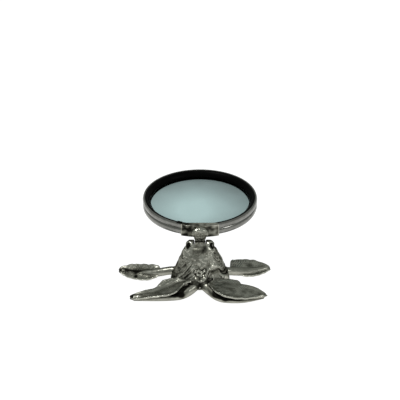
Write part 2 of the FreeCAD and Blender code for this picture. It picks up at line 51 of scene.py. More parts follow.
# places read from the frame
hingeAhead = 3 * mm  # from the trunk's middle to the hinge
rimTilt = math.radians(11)
hingePos = Vector(frame["joints"][0]["pos_m"])
trunkPlace = Vector((hingePos.x, hingePos.y + hingeAhead, 0))
hoopLow, hoopHigh = (Vector(corner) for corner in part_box("rim_hoop"))
hoopMiddle = (hoopLow + hoopHigh) / 2
headMatrix = Matrix.Translation(hoopMiddle) @ Matrix.Rotation(rimTilt, 4, "X")


# a wire is an output socket that takes part in sums
class Wire:
    def __init__(self, paint, socket):
        self.paint = paint
        self.socket = socket

    def maths(self, operation, first, second):
        return self.paint.node("ShaderNodeMath", {"operation": operation}, {0: first, 1: second})

    def __add__(self, other):
        return self.maths("ADD", self, other)

    def __radd__(self, other):
        return self.maths("ADD", other, self)

    def __sub__(self, other):
        return self.maths("SUBTRACT", self, other)

    def __mul__(self, other):
        return self.maths("MULTIPLY", self, other)

    def __rmul__(self, other):
        return self.maths("MULTIPLY", other, self)


class Paint:
    def __init__(self, name):
        self.material = bpy.data.materials.new(name)
        self.material.use_nodes = True
        self.tree = self.material.node_tree
        self.shader = self.tree.nodes["Principled BSDF"]

    def node(self, kind, settings=None, inputs=None, output=0):
        made = self.tree.nodes.new(kind)
        for key, value in (settings or {}).items():
            if key == "stops":
                ramp = made.color_ramp.elements
                for element, (place, level) in zip((ramp[0], ramp[1]), value):
                    element.position = place
                    element.color = (level, level, level, 1)
                for place, level in value[2:]:
                    ramp.new(place).color = (level, level, level, 1)
            else:
                setattr(made, key, value)
        for key, value in (inputs or {}).items():
            self.feed(made.inputs[key], value)
        return Wire(self, made.outputs[output])

    def feed(self, socket, value):
        if isinstance(value, Wire):
            self.tree.links.new(value.socket, socket)
        else:
            socket.default_value = value

    def set(self, **values):
        for name, value in values.items():
            self.feed(self.shader.inputs[name.replace("_", " ")], value)

    def place(self):
        return self.node("ShaderNodeTexCoord", output=3)

    def noise(self, size, detail=3, roughness=0.55):
        # size is that of the blotches, in mm
        return self.node("ShaderNodeTexNoise", {}, {"Vector": self.place(), "Scale": 1 / (size * mm),
                                                    "Detail": detail, "Roughness": roughness})

    def ramp(self, value, stops):
        return self.node("ShaderNodeValToRGB", {"stops": stops}, {0: value})

    def blend(self, first, second, factor):
        return self.node("ShaderNodeMix", {"data_type": "RGBA"},
                         {0: factor, 6: first, 7: second}, output=2)

    def bump(self, height, depth, strength=1.0, before=None):
        inputs = {"Strength": strength, "Distance": depth * mm, "Height": height}
        if before:
            inputs["Normal"] = before
        return self.node("ShaderNodeBump", {}, inputs)


castLook = {
    "bright": (0.40, 0.399, 0.345, 1),
    "dull": (0.148, 0.147, 0.12, 1),
    "hollow": (0.009, 0.0086, 0.007, 1),
    "grazing": (0.35, 0.35, 0.34, 1),
    "roughLow": 0.2,
    "roughSpan": 0.34,
    "blotchSize": 7.0,
    "grainSize": 1.0,
    "lumpSize": 2.4,
}


def castNickel():
    # antique nickel on a casting: bright on the high spots, nearly black in the hollows
    look = castLook
    paint = Paint("castNickel")
    # the hollow attribute also carries painted shade and painted highlights set on each part
    hollow = paint.node("ShaderNodeAttribute", {"attribute_name": "hollow"}, output=2)
    blotch = paint.noise(look["blotchSize"], 4, 0.6)
    grain = paint.noise(look["grainSize"], 3, 0.6)
    wearAndShading = paint.ramp(hollow + (grain - 0.5) * 0.32 + (blotch - 0.5) * 0.5,
                      [(0.16, 1.0), (0.62, 0.0)])
    tone = paint.blend(look["dull"], look["bright"], wearAndShading)
    deep = paint.ramp(hollow + (grain - 0.5) * 0.3, [(0.60, 0.0), (0.98, 1.0)])
    paint.set(Base_Color=paint.blend(tone, look["hollow"], deep), Metallic=1.0,
              Roughness=look["roughLow"] + look["roughSpan"] * hollow * (0.6 + 0.8 * blotch),
              Specular_Tint=look["grazing"])
    coarse = paint.bump(paint.noise(look["lumpSize"], 2, 0.5), 0.14, 0.4)
    paint.set(Normal=paint.bump(grain, 0.035, 0.22, coarse))
    return paint.material


nickelLook = {"smearSize": 9.0, "grainSize": 0.9, "spotTone": 0.62}


def polishedNickel(name, colour, rough, brushed=0.0):
    look = nickelLook
    paint = Paint(name)
    smear = paint.noise(look["smearSize"], 4, 0.6)
    grain = paint.noise(look["grainSize"], 2, 0.5)
    spots = paint.ramp(smear + (grain - 0.5) * 0.3, [(0.35, 0.0), (0.75, 1.0)])
    darker = tuple(look["spotTone"] * c for c in colour[:3]) + (1,)
    paint.set(Base_Color=paint.blend(colour, darker, spots), Metallic=1.0,
              Roughness=rough + 0.12 * smear + brushed * grain)
    paint.set(Normal=paint.bump(grain, 0.03, 0.35 + brushed))
    return paint.material


enamelLook = {"fresh": (0.0008, 0.0008, 0.0008, 1), "wornAndLit": (0.004, 0.004, 0.004, 1)}


def blackEnamel():
    paint = Paint("blackEnamel")
    dust = paint.noise(0.7, 3, 0.6)
    wearAndShading = paint.ramp(paint.noise(3.5, 4, 0.6), [(0.55, 0.0), (0.9, 1.0)])
    paint.set(Base_Color=paint.blend(enamelLook["fresh"], enamelLook["wornAndLit"], wearAndShading),
              Roughness=0.30 + 0.12 * dust, Specular_IOR_Level=0.03)
    paint.set(Normal=paint.bump(dust, 0.02, 0.25))
    return paint.material


lensLook = {
    "middle": (0.375, 0.505, 0.50, 1),
    "edge": (0.135, 0.175, 0.175, 1),
    "reach": 58,
    "brightSpot": (-7, -17, 0),  # mm from the hoop's middle
    "index": 1.2,
}


def lensGlass():
    # coated, tinted glass, lighter round a spot and darker towards the right and the back, as painted light and
    # shade seen through it
    look = lensLook
    paint = Paint("lensGlass")
    bright = hoopMiddle + Vector(look["brightSpot"]) * mm
    offset = paint.node("ShaderNodeVectorMath", {"operation": "DISTANCE"},
                        {0: paint.place(), 1: bright}, output=1)
    smear = paint.noise(34.0, 2, 0.5)
    rimward = paint.ramp(offset * (1 / (look["reach"] * mm)) + (smear - 0.5) * 0.35,
                         [(0.22, 0.0), (1.0, 1.0)])
    paint.set(Base_Color=paint.blend(look["middle"], look["edge"], rimward),
              Roughness=0.01, IOR=look["index"], Transmission_Weight=1.0)
    return paint.material


rubberLook = {"clean": (0.012, 0.012, 0.012, 1), "dusty": (0.03, 0.03, 0.03, 1)}


def darkRubber():
    paint = Paint("darkRubber")
    dust = paint.noise(0.8, 3, 0.6)
    paint.set(Base_Color=paint.blend(rubberLook["clean"], rubberLook["dusty"], dust),
              Roughness=0.65 + 0.15 * dust)
    paint.set(Normal=paint.bump(dust, 0.03, 0.4))
    return paint.material


materials = {
    "cast_nickel": castNickel(),
    "rim_nickel": polishedNickel("rimNickel", (0.23, 0.23, 0.213, 1), 0.17),
    "screw_nickel": polishedNickel("screwNickel", (0.27, 0.27, 0.25, 1), 0.2),
    "washer_steel": polishedNickel("washerSteel", (0.36, 0.36, 0.36, 1), 0.3, 0.2),
    "black_bezel": blackEnamel(),
    "lens_glass": lensGlass(),
    "gasket": darkRubber(),
}
slotOf = {part["node"]: part["material_slot"] for part in frame["record"]["subparts"]}
for nodeName, nodeObject in frame["nodes"].items():
    nodeObject.data.materials.clear()
    nodeObject.data.materials.append(materials[slotOf[nodeName]])
print("materials made")


def remeshed(bm, voxel):
    # the union of everything in the bmesh, as one even skin
    mesh = bpy.data.meshes.new("skinWork")
    bm.to_mesh(mesh)
    bm.free()
    worker = bpy.data.objects.new("skinWork", mesh)
    bpy.context.collection.objects.link(worker)
    skin = worker.modifiers.new("skin", "REMESH")
    skin.mode = "VOXEL"
    skin.voxel_size = voxel * mm
    skin.adaptivity = 0
    bpy.context.view_layer.update()
    result = bpy.data.meshes.new_from_object(
        worker.evaluated_get(bpy.context.evaluated_depsgraph_get()))
    bpy.data.objects.remove(worker)
    bpy.data.meshes.remove(mesh)
    made = bmesh.new()
    made.from_mesh(result)
    bpy.data.meshes.remove(result)
    return made


def smoothed(bm, times, factor=0.5, verts=None):
    for _ in range(times):
        bmesh.ops.smooth_vert(bm, verts=verts or bm.verts, factor=factor, use_axis_x=True,
                              use_axis_y=True, use_axis_z=True)


def markHollows(bm, reach=10, depth=0.22, patinaAndShading=None):
    # 0.5 is level, towards 1 in a hollow and towards 0 on a ridge; the function passed in adds patina, painted
    # shade and painted highlights to it
    calm = bm.copy()
    smoothed(calm, reach)
    calm.verts.ensure_lookup_table()
    bm.verts.ensure_lookup_table()
    bm.normal_update()
    layer = bm.verts.layers.float.new("hollow")
    for vert in bm.verts:
        below = (calm.verts[vert.index].co - vert.co).dot(vert.normal) / mm
        level = 0.5 + max(-0.22, 0.5 * below / depth) + (patinaAndShading(vert) if patinaAndShading else 0.0)
        vert[layer] = min(1.0, max(0.0, level))
    calm.free()


def makePiece(name, bm, node, body):
    mesh = bpy.data.meshes.new(name)
    bm.to_mesh(mesh)
    bm.free()
    mesh.shade_smooth()
    piece = bpy.data.objects.new(name, mesh)
    bpy.context.collection.objects.link(piece)
    mesh.materials.append(materials[slotOf[node]])
    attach(piece, body)
    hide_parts(node)
    return piece


def cadCopy(node):
    bm = bmesh.new()
    bm.from_mesh(frame["nodes"][node].data)
    bmesh.ops.remove_doubles(bm, verts=bm.verts, dist=0.002 * mm)
    return bm


def along(points, t):
    # a smooth curve through the points, t from 0 to 1
    spans = len(points) - 1
    place = min(max(t, 0.0), 1.0) * spans
    i = min(int(place), spans - 1)
    f = place - i
    p0, p1 = points[max(i - 1, 0)], points[i]
    p2, p3 = points[i + 1], points[min(i + 2, spans)]
    return tuple(
        0.5 * (2 * b + (c - a) * f + (2 * a - 5 * b + 4 * c - d) * f * f
               + (3 * b - a - 3 * c + d) * f ** 3)
        for a, b, c, d in zip(p0, p1, p2, p3))


def evenly(points, count):
    # the same curve resampled at even steps along its length
    fine = [along(points, i / 400) for i in range(401)]
    run = [0.0]
    for a, b in zip(fine, fine[1:]):
        run.append(run[-1] + math.dist(a[:3], b[:3]))
    out, i = [], 0
    for k in range(count):
        goal = run[-1] * k / (count - 1)
        while i < 399 and run[i + 1] < goal:
            i += 1
        f = (goal - run[i]) / max(run[i + 1] - run[i], 1e-9)
        out.append(tuple(a + (b - a) * f for a, b in zip(fine[i], fine[i + 1])))
    return out


def addTube(bm, rows, sides=20):
    # rings (x, y, z, radius) in mm joined into a closed tube
    stations = evenly(rows, 26)
    loops = []
    for i, row in enumerate(stations):
        before, after = stations[max(i - 1, 0)], stations[min(i + 1, len(stations) - 1)]
        way = Vector(after[:3]) - Vector(before[:3])
        turn = way.to_track_quat("Z", "Y").to_matrix().to_4x4()
        ring = bmesh.ops.create_circle(bm, cap_ends=i in (0, len(stations) - 1), segments=sides,
                                       radius=row[3], matrix=Matrix.Translation(row[:3]) @ turn)
        loops.append(list({e for v in ring["verts"] for e in v.link_edges}))
    for first, second in zip(loops, loops[1:]):
        bmesh.ops.bridge_loops(bm, edges=first + second)


def smoothStep(low, high, value):
    t = min(max((value - low) / (high - low), 0.0), 1.0)
    return t * t * (3 - 2 * t)


def bell(distance, width):
    return math.exp(-(distance / width) ** 2)


# leaf feet: mm from the trunk's middle, edges from the stem to the tip
leafSizes = {
    "voxel": 0.36,
    "thick": 1.35,
    "cells": (70, 28),
    "smoothing": 5,
    "lobes": 6.5,
    "veinGap": 1.7,
    "veinRise": 0.16,
    "scallop": 0.5,
    "lipRise": 0.65,
    "backLip": 0.05,
    "mottle": 0.38,
    "bellyMottle": 0.10,
    "ribAt": 0.48,
}
# how far each place darkens or brightens, in steps of the hollow attribute
leafWearAndShading = {
    # painted shadow under the blade's edge
    "bladeShadow": 0.3,
    # wear and a painted highlight on the lip
    "lip": 0.75,
    "backBand": 0.3,
    "backEdge": 0.5,
    "belly": 0.1,
    "patches": 0.36,
    "veins": 0.1,
    # painted shade in the dented pocket
    "shadedPocket": 1.3,
}
leaves = {
    "front_left": {
        "stem": [(-1.8, -15, 12.4, 3.4), (-3.4, -20.2, 9.4, 4.2), (-8.2, -25.4, 6.7, 4.2),
                 (-14.5, -29.8, 4.2, 3.6), (-22, -31.4, 3.0, 3.0), (-37, -32.4, 2.8, 2.8),
                 (-54.6, -33, 3.1, 2.5)],
        "front": [(-7.5, -25.4), (-12, -27.4), (-15.6, -31), (-18.6, -35.6), (-23, -38.8),
                  (-29, -39.6), (-36, -39), (-47, -37.2), (-54.5, -35.9), (-57.4, -33.8)],
        "back": [(-7.5, -25.4), (-12, -23), (-21, -19.4), (-28.5, -18.6), (-33.5, -21.2),
                 (-36.2, -25.6), (-42, -26.6), (-47.7, -28.2), (-53.4, -29.8), (-57.4, -32.6)],
        "plane": (-31.6, -18.3, 12, 0.2, 0.22),
        "cup": 0.7, "wave": 0.45, "seed": 3, "rib": 0.12, "groove": 0.2, "shade": (0.06, 0.24),
        "wornAndLit": (0.5, 0.9), "darkTip": 0.6, "patch": 0.0,
        "shadedPocket": (-14.8, -33.0, 5.6, 2.3),
        "web": [(-10, -26, 8.6, 2.4), (-17, -29, 8.4, 2.3), (-26, -30.5, 7.6, 2.2)],
    },
    "front_right": {
        "stem": [(1.8, -15, 12.0, 3.4), (3.6, -20.6, 9.2, 4.2), (9.2, -27.4, 6.4, 4.1),
                 (15, -33, 3.9, 3.5), (22, -35.8, 2.7, 2.7), (36, -35.4, 2.7, 2.7),
                 (52.2, -30.6, 3.4, 2.1)],
        "front": [(7, -27), (10.5, -33.5), (14.5, -38.2), (20, -41.6), (28, -42), (37.3, -39),
                  (47.4, -34.2), (53.3, -31.3), (54.8, -29)],
        "back": [(7, -27), (10.5, -20.5), (18, -15.6), (27, -13.4), (32.6, -14.6),
                 (34.6, -19), (42, -19.6), (49, -22.6), (54.4, -27.6)],
        "plane": (34, -3, 11, -0.18, 0.13),
        "cup": 0.7, "wave": 0.4, "seed": 11, "rib": 0.12, "groove": 0.15, "shade": (0.14, 0.46),
        "wornAndLit": (0.06, 0.8), "darkTip": 0.1, "patch": -0.2,
        "shadedPocket": (20.5, -38.6, 4.9, 2.4),
    },
    "rear_left": {
        "stem": [(-14.5, 6.6, 9.5, 3.8), (-25, 8.2, 9.1, 3.7), (-36, 9.5, 6.8, 3.6),
                 (-46, 11.8, 4.4, 3.4), (-57, 15.6, 2.9, 3.0), (-68.6, 19.2, 3.9, 2.6)],
        "front": [(-34, 9), (-36, 5.8), (-40, 3.9), (-45.5, 3), (-52, 4.6), (-60, 8.4),
                  (-67.4, 13.5), (-71.2, 18)],
        "back": [(-34, 9), (-36, 15), (-42, 18.4), (-51, 21.2), (-59, 22.8), (-66, 22.3),
                 (-70.4, 21.2), (-71.4, 19.4)],
        "plane": (-53, 21.6, 9.5, 0.2, 0.45),
        "cup": 0.35, "wave": 0.3, "seed": 23, "rib": -0.3, "groove": 0.6, "shade": (0.0, 0.2),
        "wornAndLit": (0.2, 0.3), "darkTip": 0.5, "patch": 0.12,
        "shadedPocket": (-56, 8.5, 4.0, 1.5),
    },
    "rear_right": {
        "stem": [(14.5, 4.4, 9.5, 3.8), (24, 6.8, 9.1, 3.7), (32, 11.6, 6.6, 3.6),
                 (41, 17, 4.2, 3.4), (51, 22, 2.9, 3.0), (60.0, 26.2, 3.6, 2.4)],
        "front": [(28, 17), (30, 13), (34.5, 11), (39.5, 10.8), (46, 13), (53, 16.7),
                  (58.8, 21.4), (62.2, 26)],
        "back": [(28, 17), (27, 22), (27.8, 26.6), (31, 28.8), (37.5, 31), (47, 32.4),
                 (57.5, 31.4), (61.6, 29.6), (62.6, 27.4)],
        "plane": (44.8, 33.9, 9.2, -0.22, 0.33),
        "cup": 0.5, "wave": 0.3, "seed": 31, "rib": 0.35, "groove": -0.4, "shade": (0.0, 0.2),
        "wornAndLit": (0.2, 0.8), "darkTip": 0.1, "patch": -0.08,
        "shadedPocket": (33, 11.5, 5.0, 1.5),
    },
}


def leafSurface(leaf):
    # a function from (u, v) to the blade's top: u from stem to tip, v from front to back edge
    front = evenly([p + (0,) for p in leaf["front"]], 60)
    back = evenly([p + (0,) for p in leaf["back"]], 60)
    x0, y0, z0, slopeX, slopeY = leaf["plane"]

    def surface(u, v):
        f = Vector(along(front, u))
        b = Vector(along(back, u))
        wide = (b - f).length
        edge = abs(2 * v - 1)
        lobes = abs(math.sin(math.pi * (u * leafSizes["lobes"] + 0.2 * leaf["seed"])))
        pull = leafSizes["scallop"] * lobes * edge ** 4 * min(1.0, wide / 8)
        spot = f.lerp(b, v)
        if wide > 0.1:
            spot += (b - f).normalized() * pull * (1 if v > 0.5 else -1)
        spot.z = z0 + slopeX * (spot.x - x0) + slopeY * (spot.y - y0)
        spot.z += leaf["cup"] * (edge ** 2 - 0.35) * smoothStep(0, 0.2, u)
        spot.z += leaf["wave"] * math.sin(9 * u + leaf["seed"] + 2.2 * v) * edge ** 2
        return spot, wide, (b - f).normalized() if wide > 0.1 else Vector((0, 1, 0))
    return surface


def leafShell(surface, leaf):
    # blade and stem as one skin, and samples (top point, u, v, width, way across) of the blade
    bm = bmesh.new()
    alongCells, acrossCells = leafSizes["cells"]
    grid = bmesh.ops.create_grid(bm, x_segments=alongCells, y_segments=acrossCells, size=0.5)
    samples = []
    for vert in grid["verts"]:
        u, v = vert.co.x + 0.5, vert.co.y + 0.5
        spot, wide, across = surface(min(u, 0.998), v)
        vert.co = spot
        samples.append((spot.copy(), u, v, wide, across))
    bmesh.ops.remove_doubles(bm, verts=bm.verts, dist=0.02)
    bmesh.ops.dissolve_degenerate(bm, edges=bm.edges, dist=0.005)
    bmesh.ops.recalc_face_normals(bm, faces=bm.faces)
    if sum(face.normal.z for face in bm.faces) < 0:
        bmesh.ops.reverse_faces(bm, faces=bm.faces)
    bmesh.ops.solidify(bm, geom=bm.faces[:], thickness=leafSizes["thick"])
    addTube(bm, leaf["stem"])
    if "web" in leaf:
        addTube(bm, leaf["web"])
    for vert in bm.verts:
        vert.co = vert.co * mm
    bmesh.ops.recalc_face_normals(bm, faces=bm.faces)
    bm = remeshed(bm, leafSizes["voxel"])
    smoothed(bm, leafSizes["smoothing"])
    return bm, samples


def treeOf(points):
    tree = kdtree.KDTree(len(points))
    for i, point in enumerate(points):
        tree.insert(point, i)
    tree.balance()
    return tree


def window(value, low, high, rise, fall):
    return smoothStep(low - rise, low, value) * smoothStep(high + fall, high, value)


def bladeSpot(p, sample, leaf, length):
    # where a point is on the blade: u, v, mm from the rib and mm from the edge
    top, u, v, wide, way = sample
    outward = 1 if leaf["front"][-1][0] > 0 else -1
    aside = (p - top).dot(way)
    u += (p - top - way * aside).dot(Vector((way.y, -way.x, 0))) * outward / length
    v = min(max(v + aside / max(wide, 2.0), 0.0), 1.0)
    across = (v - leafSizes["ribAt"]) * wide
    return u, v, across, 0.5 * wide - abs(across)


def leafLift(p, leaf, onTop, spot, phase, wornAndLit):
    # rib, veins, worn lip and mottling of the blade's top, in mm
    sizes = leafSizes
    u, v, across, rimward = spot
    seed = Vector((leaf["seed"], 0, 0))
    fade = smoothStep(0.0, 0.12, u) * smoothStep(1.0, 0.88, u)
    patchy = smoothStep(-0.25, 0.35, noise.noise(p * 0.13 + seed * 2))
    veins = sizes["veinRise"] * math.cos(2 * math.pi * phase) * (0.35 + patchy)
    veins *= smoothStep(0.6, 2.0, abs(across)) * smoothStep(0.0, 1.4, rimward)
    rib = leaf["rib"] * bell(across, 0.9)
    mottle = sizes["mottle"] * noise.fractal(p * 0.21 + seed, 1.1, 2.1, 3)
    lip = sizes["lipRise"] * (0.3 + 0.7 * wornAndLit) if v < 0.5 else sizes["backLip"]
    lip *= bell(rimward - 0.45, 0.75) * smoothStep(0.02, 0.1, u)
    lift = onTop * (fade * (rib + veins) + lip + mottle)
    lift += (1 - onTop) * sizes["bellyMottle"] * noise.fractal(p * 0.3 + seed, 0.9, 2.0, 2)
    return lift * smoothStep(0.2, 1.0, p.z)


def leafShade(p, leaf, onTop, spot, phase, wornAndLit, above, beside):
    # painted shadow below the blade's edge, wear with a painted highlight on its lip, and lighter off the top
    # outside the painted shadow
    wearAndShading = leafWearAndShading
    u, v, across, rimward = spot
    seed = Vector((leaf["seed"], 0, 0))
    fade = smoothStep(0.0, 0.12, u) * smoothStep(1.0, 0.88, u)
    # painted shadow under the blade's overhanging edge, darkest in the gap over the stem
    drop = above[0].z - p.z
    shadowUnderBlade = smoothStep(0.28, 0.5, p.z / above[0].z) * smoothStep(1.0, 1.7, drop)
    shadowUnderBlade *= 1 - smoothStep(1.0, 2.2, beside)
    low, high = leaf["shade"]
    inGap = smoothStep(low - 0.05, low + 0.03, above[1])
    inGap *= smoothStep(high + 0.2, high, above[1])
    shade = shadowUnderBlade * (wearAndShading["bladeShadow"] + (1 - wearAndShading["bladeShadow"]) * inGap)
    # wear and a painted highlight along the front lip
    shade -= onTop * bell(rimward - 0.5, 0.8) * (0.1 + wearAndShading["lip"] * wornAndLit if v < 0.5 else 0.0)
    shade -= onTop * wearAndShading["backBand"] * smoothStep(0.62, 0.8, v) * bell(rimward - 2.6, 1.6)
    shade += wearAndShading["backEdge"] * smoothStep(0.7, 0.95, v) * (1 - onTop)
    shade += leaf["darkTip"] * smoothStep(0.9, 0.97, u)
    shade -= wearAndShading["belly"] * (1 - onTop) * (1 - shadowUnderBlade)
    shade += onTop * leaf["groove"] * bell(across, 1.5) * fade
    patch = leaf["patch"] + wearAndShading["patches"] * noise.noise(p * 0.17 + seed)
    patch += wearAndShading["veins"] * math.cos(2 * math.pi * phase)
    return shade + onTop * patch * smoothStep(1.2, 2.6, rimward)


def makeLeaf(side, leaf):
    bm, samples = leafShell(leafSurface(leaf), leaf)
    onBlade = treeOf([sample[0] for sample in samples])
    fromAbove = treeOf([Vector((sample[0].x, sample[0].y, 0)) for sample in samples])
    length = (Vector(leaf["front"][-1]) - Vector(leaf["front"][0])).length
    low, high = leaf["wornAndLit"]
    bm.normal_update()
    shifts, shades = [], []
    for vert in bm.verts:
        p = vert.co / mm
        _, i, gap = onBlade.find(p)
        _, k, beside = fromAbove.find(Vector((p.x, p.y, 0)))
        onTop = smoothStep(0.1, 0.5, vert.normal.z) * (1 - smoothStep(0.7, 1.5, gap))
        spot = bladeSpot(p, samples[i], leaf, length)
        u, _, across, _ = spot
        warp = 0.9 * noise.noise(p * 0.2 + Vector((leaf["seed"], 0, 0)))
        phase = (u * length - 0.75 * abs(across) + warp) / leafSizes["veinGap"]
        wornAndLit = window(u, low, high, 0.06, 0.15)
        lift = leafLift(p, leaf, onTop, spot, phase, wornAndLit)
        shade = leafShade(p, leaf, onTop, spot, phase, wornAndLit, samples[k], beside)
        # a small dent under the blade's edge, darkened with painted shade
        shadedPocket = bell((p - Vector(leaf["shadedPocket"][:3])).length, leaf["shadedPocket"][3])
        inward = Vector((0, 1.3 * shadedPocket, -0.5 * shadedPocket))
        shifts.append(vert.normal * lift * mm + inward * mm)
        shades.append(shade + leafWearAndShading["shadedPocket"] * shadedPocket)
    layer = bm.verts.layers.float.new("shade")
    for vert, shift, shade in zip(bm.verts, shifts, shades):
        vert.co += shift
        vert.co.z = max(vert.co.z, 0.0)
        vert[layer] = shade
    smoothed(bm, 2)
    for vert in bm.verts:
        vert.co += trunkPlace
        vert.co.z = max(vert.co.z, 0.0)
    markHollows(bm, patinaAndShading=lambda vert: vert[layer])
    bm.verts.layers.float.remove(layer)
    return makePiece("leafFoot" + side.title().replace("_", ""), bm, "leaf_foot_" + side, "stand")


for leafSide, leafData in leaves.items():
    made = makeLeaf(leafSide, leafData)
    print("leaf", leafSide, len(made.data.polygons))


trunkSizes = {
    "voxel": 0.36,
    "rings": [(4, 25.4, 21.0, 0.0), (14, 23.2, 18.6, -0.6), (24, 18.9, 15.0, -1.4),
              (32, 14.8, 11.6, -2.4), (38, 12.4, 6.4, -3.0)],
    "streak": 0.46,
    "slant": 2.1,
    "brow": 1.4,
    "browHeight": 37.4,
    "neckDip": 0.75,
    "mottle": 0.34,
    "archRise": 0.7,
    "bayDepth": 1.6,
    "socket": 2.0,
    "melting": 16,
    "earSlope": 0.34,
    "earRidge": 0.5,
    "bayRidge": 0.7,
    "narrowing": 0.9,
    "fine": 0.13,
    "wall": 1.8,
    "foot": 4.2,
    "hinge": (-3, 37.5),  # y and height
}
# how far each place darkens or brightens, in steps of the hollow attribute
trunkWearAndShading = {
    "patches": 0.4,
    "sides": 0.16,
    "leftFlank": 0.2,
    "brow": 0.28,
    "furrows": 0.5,
    "body": 0.08,
    "ears": 0.12,
    "earRidge": 0.8,
    "bayRidges": 0.5,
    "beads": 0.35,
    "roundBeads": 0.5,
}
bayShape = {"across": 12.6, "up": 8.6, "halfWide": 9.4, "halfTall": 13.2}
# short ridges in the bay: x, height, half width, half length, slant in degrees
bayRidges = [(7.6, 16.2, 0.7, 2.9, -24), (11.4, 13.6, 0.6, 2.2, 12), (19.0, 13.2, 0.8, 2.0, 8)]
eyeShape = {"across": 9.9, "up": 38.4, "slant": 26, "halfWide": 1.9, "halfTall": 3.2}
# knot of small beads low on the trunk's front: x, height and radius
knotBeads = [(-3.3, 19.2, 1.25), (-0.9, 19.9, 1.1), (1.6, 18.6, 1.3), (3.7, 19.9, 1.0),
             (-1.9, 16.9, 1.0), (0.6, 16.4, 1.2), (3.2, 16.2, 1.05), (-0.6, 13.4, 0.9),
             (-0.5, 7.2, 1.2)]


def trunkHalf(height):
    rings = trunkSizes["rings"]
    height = min(max(height, rings[0][0]), rings[-1][0])
    for low, high in zip(rings, rings[1:]):
        if height <= high[0]:
            f = (height - low[0]) / (high[0] - low[0])
            return tuple(a + (b - a) * f for a, b in zip(low[1:], high[1:]))
    return rings[-1][1:]


def frontOf(x, height):
    wide, deep, shift = trunkHalf(height)
    return shift - deep * math.sqrt(max(0.0, 1 - (x / wide) ** 2))


def beadMiddle(x, height, radius):
    return Vector((x, frontOf(x, height) - 0.15 * radius, height))


def turned(across, up, degrees):
    # the two distances seen along axes turned by the angle
    slant = math.radians(degrees)
    return (across * math.cos(slant) + up * math.sin(slant),
            up * math.cos(slant) - across * math.sin(slant))


def bayRelief(p):
    # a smooth bay under an arched ridge, right of the middle in front: lift, shade and depth, with painted shade
    # in the crease under the arch and painted highlights on its crest and on the short ridges
    inFront = smoothStep(-3, -7, p.y) * smoothStep(0.5, 3.5, p.x)
    ring = math.hypot((p.x - bayShape["across"]) / bayShape["halfWide"],
                      (p.z - bayShape["up"]) / bayShape["halfTall"])
    ring += 0.14 * noise.noise(p * 0.16 + Vector((2, 9, 5)))
    leftward = smoothStep(0.8, -0.3, (p.x - bayShape["across"]) / bayShape["halfWide"])
    inside = inFront * smoothStep(1.0, 0.6, ring)
    lift = inFront * leftward * trunkSizes["archRise"] * bell(ring - 1.03, 0.13)
    lift -= trunkSizes["bayDepth"] * inside
    # painted shade in the crease under the arch, a painted highlight on its crest
    crease = 0.5 * bell(ring - 0.88, 0.07) - 0.2 * bell(ring - 1.05, 0.08)
    shade = inFront * leftward * crease
    if inFront:
        for x, height, halfWide, halfLong, slant in bayRidges:
            a, b = turned(p.x - x, p.z - height, slant)
            crest = bell(math.hypot(a / halfWide, b / halfLong), 0.9)
            lift += trunkSizes["bayRidge"] * crest
            # a painted highlight on each short ridge
            shade -= trunkWearAndShading["bayRidges"] * crest
    return lift, shade, inside


def keptPlain(p):
    # how dark the slot, the screw's recesses, the inside and the rim below are, or None
    sizes = trunkSizes
    wide, deep, shift = trunkHalf(p.z)
    wall = sizes["wall"]
    reach = math.hypot(p.x / (wide - wall), (p.y - shift) / (deep - wall))
    hingeY, hingeZ = sizes["hinge"]
    if reach < 1 and p.z < 33 or p.z < sizes["foot"]:
        return 0.2
    if abs(p.x) < 5.6 and p.y > -8.2 and p.z > 31.5:
        return 0.6
    if abs(p.x) > 9.2 and math.hypot(p.y - hingeY, p.z - hingeZ) < 3.2:
        return 0.2
    return None


